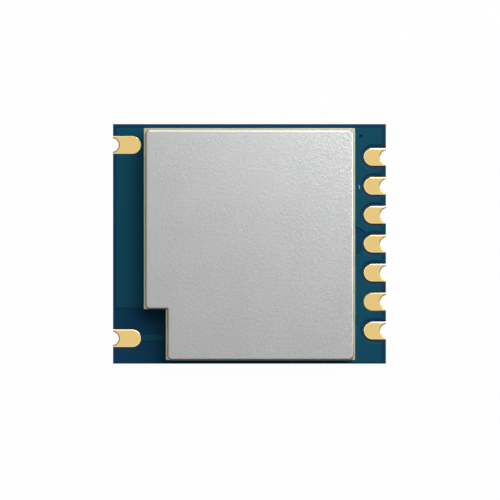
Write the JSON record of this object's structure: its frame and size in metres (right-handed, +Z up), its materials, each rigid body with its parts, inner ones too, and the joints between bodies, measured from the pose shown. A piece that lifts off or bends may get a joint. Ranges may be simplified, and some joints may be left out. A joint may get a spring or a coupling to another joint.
{
  "type": "wireless transceiver module",
  "caption": "Radio transceiver module: small teal circuit board with gold-plated half-hole pads on two edges and a drawn L-shaped metal shield can soldered over its circuit.",
  "frame": {"origin": "centre of the board outline, on the underside that lies on the carrier board", "axes": "+X along the board's longer side towards the long row of pads, +Z up through the shield"},
  "size_m": [0.0188, 0.0166, 0.0028],
  "materials": {
    "laminate": "sawn glass-epoxy edge",
    "solder_mask": "satin",
    "copper": "plain",
    "gold_plate": "satin plated",
    "shield_sheet": "fine blasted",
    "solder": "satin",
    "tin": "satin plated",
    "chip_mould": "moulded",
    "crystal_ceramic": "fired",
    "capacitor_ceramic": "fired",
    "inductor_ceramic": "fired",
    "resistor_body": "fired",
    "legend_ink": "printed"
  },
  "bodies": {
    "root": {"board_core": "laminate", "top_solder_mask": "solder_mask", "bottom_solder_mask": "solder_mask", "top_copper": "copper", "bottom_copper": "copper", "vias": "copper", "shield_ring": "gold_plate", "component_lands": "gold_plate", "crystal_terminals": "gold_plate", "left_ground_pad": "gold_plate", "left_antenna_pad": "gold_plate", "right_pad_1": "gold_plate", "right_pad_2": "gold_plate", "right_pad_3": "gold_plate", "right_pad_4": "gold_plate", "right_pad_5": "gold_plate", "right_pad_6": "gold_plate", "right_pad_7": "gold_plate", "shield_can": "shield_sheet", "shield_seam": "solder", "component_solder": "solder", "chip_leads": "tin", "chip_paddle": "tin", "crystal_lid": "tin", "capacitor_caps": "tin", "inductor_caps": "tin", "resistor_caps": "tin", "chip_body": "chip_mould", "crystal_base": "crystal_ceramic", "capacitor_1": "capacitor_ceramic", "capacitor_2": "capacitor_ceramic", "capacitor_3": "capacitor_ceramic", "capacitor_4": "capacitor_ceramic", "capacitor_5": "capacitor_ceramic", "capacitor_6": "capacitor_ceramic", "capacitor_7": "capacitor_ceramic", "capacitor_8": "capacitor_ceramic", "capacitor_9": "capacitor_ceramic", "capacitor_10": "capacitor_ceramic", "capacitor_11": "capacitor_ceramic", "inductor_1": "inductor_ceramic", "inductor_2": "inductor_ceramic", "inductor_3": "inductor_ceramic", "inductor_4": "inductor_ceramic", "resistor_1": "resistor_body", "legend_mark": "legend_ink"}
  },
  "joints": []
}
